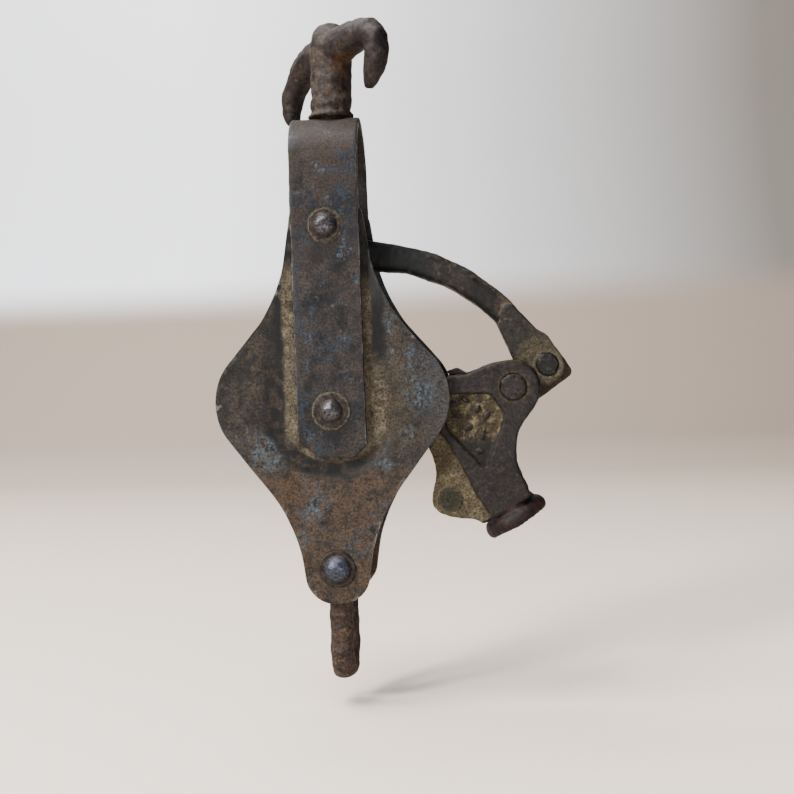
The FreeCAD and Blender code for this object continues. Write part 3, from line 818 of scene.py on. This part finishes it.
def painted_plate_steel():
    """Pressed sheet: brown-black rust, scraps of pale blue paint, oil and dried clay in the keyhole."""
    at = Place("painted_plate_steel")
    lobe = at.either(*(at.near(Vector((x, 0, z)), reach * 0.2, reach, 5) for x, z, reach in BLUE_SCRAPS))
    blue = at.both(lobe, at.blotches(4, 0.34, 0.56, 70), at.blotches(1.5, 0.4, 0.62, 5))
    stray = at.both(at.blotches(9, 0.54, 0.64, 21), at.blotches(1.3, 0.46, 0.62, 5))
    reach = at.uneven(at.away(Vector((0, 0, 2)), (1, 0, 0.92)), 5, 6)
    bowl = at.both(at.fade(reach, 24, 20.5), at.fade(at.z, 24, 12))
    neck = at.both(at.fade(at.uneven(at.side, 3, 5), 19.5, 16.5), at.fade(at.z, 8, 18),
                   at.fade(at.z, 60, 45))
    throat = at.fade(at.z, 44, 50)
    beside = at.both(at.fade(at.uneven(at.x, 1.6, 4), 14.2, 12.8), at.fade(at.x, 0, 1),
                     at.fade(at.z, 46, 38), at.fade(at.z, -13, -10))
    left_bank = at.both(at.fade(at.uneven(at.x, 2.2, 5), -16.0, -14.2), at.fade(at.x, 0, -1),
                        at.fade(at.z, 50, 44), at.fade(at.z, -13, -6))
    below = at.near(Vector((1, 0, -3)), 14.2, 15.8, 1.6, (0.9, 0, 1.1))
    right_patch = at.near(Vector((13.5, 0, 1)), 2.6, 6.8, 2.6, (1, 0, 0.36))
    clay = at.either(beside, left_bank, below, right_patch)
    thin = at.both(at.near(Vector((20, 0, 4)), 4, 9, 4, (1, 0, 0.5)), at.blotches(3, 0.3, 0.65, 11))
    foot = at.either(at.both(at.ring(FOOT, 5.4, 6.4, 0.4), at.blotches(2.5, 0.4, 0.55, 3)),
                     at.both(at.near(FOOT, 7, 9.5, 2), at.blotches(2, 0.45, 0.7, 3)))
    rust = at.both(at.near(Vector((-14, 0, -26)), 2, 8, 5), at.blotches(2, 0.4, 0.6, 50))
    return at.coated([
        (None, "1f1b18", 0.5, 0.25),
        (at.blotches(6, 0.42, 0.6), "262019", 0.65, 0.1),
        (at.blotches(11, 0.46, 0.62, 40), "131211", 0.45, 0.3),
        (at.blotches(2.4, 0.5, 0.66, 14), "110f0e", 0.5, 0.3),
        (at.both(at.fade(at.z, -14, -24), at.blotches(4, 0.36, 0.6, 29)), "2f251c", 0.7, 0.1),
        (at.both(at.fade(at.x, 26, 36), at.blotches(8, 0.25, 0.5, 9)), "262524", 0.42, 0.4),
        (stray, "23262b", 0.5, 0.1),
        (blue, "303940", 0.5, 0.1),
        (rust, "302318", 0.8, 0.0),
        (at.either(bowl, neck, throat), OIL, 0.45, 0.1),
        (at.both(at.either(bowl, throat), at.blotches(3, 0.46, 0.66, 31)), "1f1813", 0.6, 0.1),
        (thin, "28231a", 0.85, 0.0),
        (clay, CLAY, 0.9, 0.0),
        (at.both(clay, at.blotches(3, 0.42, 0.62, 77)), PALE_CLAY, 0.92, 0.0),
        (at.both(clay, at.blotches(4, 0.52, 0.68, 37)), "211c15", 0.85, 0.0),
        (foot, "262118", 0.85, 0.0),
        (at.near(FOOT, 5.4, 6.2, 1.5), "0d0c0a", 0.5, 0.2),
        (at.blotches(1.4, 0.64, 0.74, 55), "362112", 0.8, 0.0),
        (at.both(at.worn(0.51, 0.58), at.blotches(5, 0.3, 0.55, 8)), "454543", 0.4, 0.6)])


def worn_rivet_steel():
    """Hammered rivet heads, rubbed bright on the crown and caked with clay round the foot."""
    at = Place("worn_rivet_steel")
    crowns = at.either(*(at.near(place, 1.6, reach, 1.4) for place, reach in ((CENTRE, 3.9), (PIVOT, 4.2))))
    clay = at.both(at.either(at.ring(CENTRE, 5.5, 7.5, 0.25, 1.4), at.ring(PIVOT, 4.75, 7.0, 0.25, 1.2)),
                   at.blotches(3, 0.36, 0.5, 71))
    return at.coated([
        (None, "171312", 0.45, 0.4),
        (at.blotches(2, 0.42, 0.62), "241d19", 0.6, 0.2),
        (at.near(FOOT, 2.5, 5.0), "2c2f38", 0.35, 0.6),
        (crowns, "38373a", 0.33, 0.85),
        (at.both(crowns, at.blotches(1.3, 0.5, 0.62, 9)), "1a1717", 0.5, 0.4),
        (clay, CLAY, 0.9, 0.0)])


def forged_hook_iron():
    """Drop-forged iron, scaled purple-brown, with orange rust where the horn meets the shank."""
    at = Place("forged_hook_iron")
    rise = math.radians(HORN_ANGLE)
    crotch = Vector((SWIVEL + 10 * math.cos(rise), 10 * math.sin(rise), 111.5))
    shank = at.near(Vector((SWIVEL, 0, 0)), 6, 9, 3, (1, 1, 0))
    return at.coated([
        (None, "171111", 0.55, 0.2),
        (at.blotches(5, 0.42, 0.6), "221b17", 0.6, 0.15),
        (at.blotches(2.2, 0.5, 0.62, 30), "0c0909", 0.55, 0.2),
        # Painted highlight: lighter tan-brown patches round the shank, collar and head.
        (at.both(shank, at.blotches(3.5, 0.42, 0.6, 18)), "2c241e", 0.75, 0.0),
        (at.hollows(), "0d0907", 0.8, 0.0),
        (at.both(at.near(crotch, 2, 6.5, 3, (1, 1, 1)), at.blotches(2, 0.35, 0.55, 52)), "2c1b0b", 0.85, 0.0),
        (at.both(at.upward(), at.blotches(2.5, 0.5, 0.7, 4)), "27201a", 0.8, 0.0),
        (at.worn(0.56, 0.64), "342c27", 0.5, 0.4),
        (at.blotches(0.9, 0.74, 0.78, 12), "676054", 0.8, 0.0)], 0.9, 0.2)


def rusted_loop_steel():
    """Round bar gone to even brown rust, darker under the eyes."""
    at = Place("rusted_loop_steel")
    return at.coated([
        (None, "211a17", 0.65, 0.1),
        (at.blotches(4, 0.42, 0.6), "2d221d", 0.75, 0.0),
        (at.blotches(1.8, 0.5, 0.66, 30), "150f0c", 0.7, 0.1),
        (at.blotches(2.6, 0.52, 0.66, 62), "3a2d22", 0.8, 0.0),
        (at.worn(0.56, 0.64), "403830", 0.5, 0.4)], 0.8, 0.16)


def forged_arm_iron():
    """Forged bar: black by the pivot, which is painted shade where it runs in between the plates; grey-brown
    along the top, partly dusty dirt and partly painted top light; clay on the fork's flats.
    """
    at = Place("forged_arm_iron")
    flat = at.both(at.fade(at.out, 5.0, 5.6), at.blotches(3, 0.25, 0.5, 6))
    ring = at.ring(TAIL_PIN, 3.6, 4.9, 0.3)
    return at.coated([
        (None, "1a1715", 0.5, 0.25),
        (at.blotches(4, 0.42, 0.6), "130f0f", 0.5, 0.25),
        (at.blotches(2.2, 0.52, 0.66, 30), "27221d", 0.6, 0.1),
        # Brown on the faces turned up: partly dusty dirt, partly painted light from above.
        (at.both(at.upward(0.1, 0.7), at.blotches(3, 0.35, 0.6, 8)), "29221a", 0.8, 0.0),
        # Painted shade: the faces of the arm's middle that do not turn up are darker than its top.
        (at.both(at.fade(at.x, 42, 48), at.fade(at.x, 60, 56), at.upward(0.6, 0.1)), "0c0a0a", 0.5, 0.2),
        # Painted highlight: a lighter brown patch on the shoulder, above the crease into the fork's flat.
        (at.both(at.near(Vector((60, 0, 31)), 4, 8, 3), at.blotches(2, 0.35, 0.6, 5)), "3d3228", 0.7, 0.1),
        # Painted shade: near-black over the arm's root, where it runs in between the plates.
        (at.fade(at.uneven(at.x, 8, 6), 38, 27), "010203", 0.6, 0.0),
        (flat, "2b271c", 0.88, 0.0),
        (at.both(flat, at.fade(at.uneven(at.away(TAIL_PIN), 2), 9, 12)), "161412", 0.7, 0.1),
        (ring, CLAY, 0.9, 0.0),
        (at.worn(0.56, 0.64), "36322c", 0.45, 0.5)])


def cast_lock_iron():
    """Sand-cast iron shell: purple-brown skin, clay packed in the panel and on the ear, red-brown lip."""
    at = Place("cast_lock_iron")
    panel = at.both(at.within([(34, 4.2), (51.5, 4.4), (55.8, -3.2), (49.2, -22), (34, -5)], 0.5),
                    at.fade(at.out, 8.25, 7.95))
    lean = at.along(THROAT_UP)
    offset = MOUTH.dot(THROAT_UP)
    down = at.along(THROAT_AXIS)
    mouth = MOUTH.dot(THROAT_AXIS)
    ear = at.both(at.fade(at.out, 6.3, 5.9), at.fade(lean, offset - 4.6, offset - 5.6))
    lip = at.fade(at.uneven(down, 1.2), mouth - 4.4, mouth - 3.4)
    return at.coated([
        (None, "171312", 0.52, 0.25),
        (at.blotches(4, 0.42, 0.6), "100d0d", 0.5, 0.25),
        (at.blotches(2, 0.5, 0.66, 30), "1f1a17", 0.6, 0.1),
        # Brown on the faces turned up: partly dusty dirt, partly painted light from above.
        (at.both(at.upward(0.3, 0.8), at.blotches(3, 0.3, 0.55, 8)), "241c12", 0.8, 0.0),
        (at.hollows(), "0a0808", 0.7, 0.0),
        (at.both(panel, at.blotches(2.2, 0.25, 0.5, 3)), "282218", 0.9, 0.0),
        (at.both(panel, at.blotches(2.6, 0.5, 0.62, 63)), "453f2f", 0.9, 0.0),
        (at.both(panel, at.fade(at.z, -9, -13)), "110e0d", 0.7, 0.0),
        (ear, "332d21", 0.9, 0.0),
        (at.both(ear, at.blotches(3, 0.45, 0.62, 13)), "403a2c", 0.9, 0.0),
        (at.ring(DOG_PIN, 4.5, 5.3, 0.25), "252017", 0.88, 0.0),
        (lip, "0d0606", 0.62, 0.0),
        (at.both(lip, at.blotches(3, 0.5, 0.62, 23)), "1c0e0a", 0.6, 0.0),
        (at.worn(0.57, 0.65), "322e2a", 0.45, 0.5)], 0.8, 0.16)


def cast_dog_iron():
    """Cast cam: dark among the teeth, clay-brown on the heel."""
    at = Place("cast_dog_iron")
    return at.coated([
        (None, "120f0d", 0.55, 0.2),
        (at.blotches(3, 0.42, 0.6), "191510", 0.65, 0.1),
        (at.both(at.fade(at.x, 62, 68), at.blotches(2.5, 0.25, 0.5, 6)), "251f18", 0.85, 0.0),
        (at.both(at.upward(), at.blotches(2.5, 0.5, 0.7, 4)), "251d12", 0.85, 0.0),
        (at.worn(0.57, 0.65), "312d29", 0.45, 0.5)])


def hammered_pin_steel():
    """Pin ends hammered flat, dark and dented, a little brighter on the high spots."""
    at = Place("hammered_pin_steel")
    return at.coated([
        (None, "121110", 0.5, 0.3),
        (at.blotches(2.2, 0.42, 0.6), "1c1716", 0.5, 0.3),
        (at.near(TAIL_PIN, 4, 5), "0b0a09", 0.5, 0.2),
        (at.near(EAR_PIN, 4, 6), "1d1b14", 0.85, 0.0),
        (at.blotches(1.6, 0.56, 0.66, 15), "292620", 0.6, 0.2),
        (at.worn(0.56, 0.64), "35312d", 0.4, 0.6)])


def cast_sheave_iron():
    """Cast wheel, dark and greasy on the web, rubbed smooth and grey where the rope ran."""
    at = Place("cast_sheave_iron")
    groove = at.both(at.fade(at.away(CENTRE), 19.8, 20.6), at.fade(at.out, 5.3, 4.6))
    return at.coated([
        (None, "100d0c", 0.5, 0.2),
        (at.blotches(5, 0.42, 0.6), "171410", 0.65, 0.1),
        (groove, "201f1d", 0.35, 0.7),
        (at.both(groove, at.blotches(3, 0.5, 0.62, 5)), "17120d", 0.6, 0.2),
        (at.worn(0.57, 0.65), "312d29", 0.45, 0.5)])


def greased_steel():
    """Turned sleeves and washers under old black grease."""
    at = Place("greased_steel")
    return at.coated([
        (None, "0c0b0a", 0.35, 0.4),
        (at.blotches(3, 0.45, 0.6), "16120f", 0.6, 0.1),
        (at.worn(0.57, 0.65), "312d29", 0.45, 0.5)])


strap_steel = painted_strap_steel()
plate_steel = painted_plate_steel()
rivet_steel = worn_rivet_steel()
bare_steel = greased_steel()
pin_steel = hammered_pin_steel()
sheave_iron = cast_sheave_iron()
hook_iron = forged_hook_iron()
becket_steel = rusted_loop_steel()
arm_iron = forged_arm_iron()
dog_iron = cast_dog_iron()
cheek_iron = cast_lock_iron()


# ---- assembly -------------------------------------------------------------------------------

piece(strap(), "strap_bar", "block", strap_steel, "strap")
piece(side_plate(), "back_plate", "block", plate_steel, "back_side_plate")
piece(flipped(side_plate()), "front_plate", "block", plate_steel, "front_side_plate")
piece(rivet(CENTRE, shank=4.75, seat=STRAP_OUTER, washer=6.2, dome=3.85, height=1.9),
      "axle_pin", "block", rivet_steel, "axle_rivet")
piece(rivet(PIVOT, shank=4.0, seat=STRAP_OUTER, washer=5.2, dome=4.1, height=2.2),
      "pivot_pin", "block", rivet_steel, "pivot_rivet")
piece(rivet(FOOT, shank=3.95, seat=PLATE_RIM, washer=6.0, dome=4.6, height=2.5),
      "foot_pin", "block", rivet_steel, "becket_rivet")
piece(rope_wheel(), "rope_wheel", "wheel", sheave_iron, "sheave")
piece(swivel_hook(), "double_hook", "hook", hook_iron, "swivel_hook")
piece(becket(), "rope_loop", "becket", becket_steel, "becket")
piece(lock_arm(), "forked_arm", "arm", arm_iron, "lock_arm")
piece(worn_pin(TAIL_PIN, TAIL_PIN_R, half=6.55, coarser=0.1), "fork_pin", "arm", pin_steel,
      "tail_pin")
piece(lock_dog(), "toothed_dog", "dog", dog_iron, "lock_dog")
piece(cheek(), "back_shell", "lock", cheek_iron, "back_cheek")
piece(flipped(cheek()), "front_shell", "lock", cheek_iron, "front_cheek")
piece(worn_pin(DOG_PIN, DOG_PIN_R, half=9.45, coarser=0.0), "shell_pin", "lock", pin_steel,
      "dog_pin")
for side, lumps in (("back", gather(*cast_lumps())), ("front", flipped(gather(*cast_lumps())))):
    piece(dent(lumps, 0.3, 1.1), side + "_panel_lumps", "lock", cheek_iron)
for name in ("axle_sleeve", "front_arm_spacer", "back_arm_spacer", "becket_sleeve", "swivel_washer",
             "ear_spacer", "ear_rivet"):
    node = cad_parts[name]
    node.data.materials.clear()
    node.data.materials.append(pin_steel if name == "ear_rivet" else bare_steel)


# ---- studio ---------------------------------------------------------------------------------

# The paper's colours carry painted light and shade: pale in front and on the left of the wall, darker as the
# floor recedes and to the right of the wall.
PAPER_NEAR = "d9cbc0"
PAPER_FAR_SHADED = "87786b"
WALL_LEFT_LIT = "dddfe3"
WALL_RIGHT_SHADED = "6f6963"


def painted_light_paper():
    """Uncoated backdrop paper with its fall of light painted in: white in front; warmer and darker as it
    recedes, the warmth its own and the darkening painted shade; where it climbs, pale cool grey on the left
    under a painted pool of light and darker grey to the right in painted shade.
    """
    finish = bpy.data.materials.new("painted_light_paper")
    finish.use_nodes = True
    shader = finish.node_tree.nodes["Principled BSDF"]
    shader.inputs["Roughness"].default_value = 0.95
    parts = add(finish, "SeparateXYZ", {0: add(finish, "TexCoord").outputs["Object"]}).outputs
    deep = {"Value": parts[1], "From Min": -0.35, "From Max": 0.75}
    high = {"Value": parts[2], "From Min": -0.03, "From Max": 0.06}
    right = {"Value": parts[0], "From Min": -0.5, "From Max": 0.55}
    far = add(finish, "MapRange", deep).outputs[0]
    wall = add(finish, "MapRange", high, interpolation_type="SMOOTHSTEP").outputs[0]
    across = add(finish, "MapRange", right).outputs[0]
    floor = add(finish, "Mix", {0: far, 6: linear(PAPER_NEAR), 7: linear(PAPER_FAR_SHADED)}, data_type="RGBA")
    climb = add(finish, "Mix", {0: across, 6: linear(WALL_LEFT_LIT), 7: linear(WALL_RIGHT_SHADED)}, data_type="RGBA")
    paper = add(finish, "Mix", {0: wall, 6: floor.outputs[2], 7: climb.outputs[2]}, data_type="RGBA")
    finish.node_tree.links.new(paper.outputs[2], shader.inputs["Base Color"])
    return finish


# The studio is in metres.
FLOOR_GAP = 0.008
FLOOR_FRONT = -3.0
FLOOR_LENGTH = 4.2
PAPER_HALF_WIDTH = 3.0
SWEEP_R = 0.6
WALL_HEIGHT = 2.0


def backdrop():
    """Pale paper: a floor just under the loop, swept up far behind into a wall."""
    floor_z = cad_box[0].z - FLOOR_GAP
    bm = bmesh.new()
    front = [bm.verts.new((x, FLOOR_FRONT, floor_z)) for x in (-PAPER_HALF_WIDTH, PAPER_HALF_WIDTH)]
    edges = drawn_on(bm, [bm.edges.new(front)], DEEP * FLOOR_LENGTH)
    verts = {vert for edge in edges for vert in edge.verts}
    bend = bmesh.ops.spin(bm, geom=list(verts) + edges,
                          cent=Vector((0, FLOOR_FRONT + FLOOR_LENGTH, floor_z + SWEEP_R)),
                          axis=Vector((1, 0, 0)), angle=math.pi / 2, steps=24)
    edges = [item for item in bend["geom_last"] if isinstance(item, bmesh.types.BMEdge)]
    drawn_on(bm, edges, UP * WALL_HEIGHT)
    for face in bm.faces:
        face.smooth = True
    mesh = bpy.data.meshes.new("paper")
    bm.to_mesh(mesh)
    bm.free()
    mesh.materials.append(painted_light_paper())
    obj = bpy.data.objects.new("paper", mesh)
    bpy.context.scene.collection.objects.link(obj)


DAYLIGHT = (1.0, 0.985, 0.96)
SKYLIGHT = (0.94, 0.97, 1.0)
WALL_LIGHT = (0.97, 0.985, 1.0)
ROOM_TINT = (0.86, 0.88, 0.92, 1)
ROOM_LIGHT = 0.28


def soft_light(name, place, aim, across, power, tint):
    """Square area light of a width in metres and a power in watts, turned to its aim."""
    light = bpy.data.lights.new(name, "AREA")
    light.size = across
    light.energy = power
    light.color = tint
    obj = bpy.data.objects.new(name, light)
    obj.location = place
    obj.rotation_euler = (Vector(aim) - Vector(place)).to_track_quat("-Z", "Y").to_euler()
    bpy.context.scene.collection.objects.link(obj)


backdrop()
soft_light("ceiling", (-0.35, -0.25, 0.9), (0, 0, -0.1), 0.6, 34, DAYLIGHT)
soft_light("window", (-0.85, -0.9, 0.5), (0, 0, -0.1), 0.3, 44, DAYLIGHT)
soft_light("low_window", (0.22, -0.7, -0.2), (0.0, 0, -0.11), 0.1, 5, SKYLIGHT)
soft_light("wall_wash", (-0.5, 0.5, 1.1), (-0.5, 1.9, 0.1), 0.9, 62, WALL_LIGHT)
world = bpy.data.worlds.new("room")
world.use_nodes = True
world.node_tree.nodes["Background"].inputs[0].default_value = ROOM_TINT
world.node_tree.nodes["Background"].inputs[1].default_value = ROOM_LIGHT
bpy.context.scene.world = world

# The camera stands about 0.4 m in front, a little to the right, looking almost level.
LENS = 54.04
CAMERA_PLACE = (0.0503, -0.3932, -0.0945)
CAMERA_HEADING = 4.6
CAMERA_TILT = 88
CAMERA_ROLL = -2
camera = bpy.data.objects.new("camera", bpy.data.cameras.new("camera"))
camera.data.lens = LENS
camera.data.sensor_width = 36
turn = (Matrix.Rotation(math.radians(CAMERA_HEADING), 4, "Z")
        @ Matrix.Rotation(math.radians(CAMERA_TILT), 4, "X"))
camera.matrix_world = (Matrix.Translation(CAMERA_PLACE) @ turn
                       @ Matrix.Rotation(math.radians(CAMERA_ROLL), 4, "Z"))
bpy.context.scene.collection.objects.link(camera)
bpy.context.scene.camera = camera
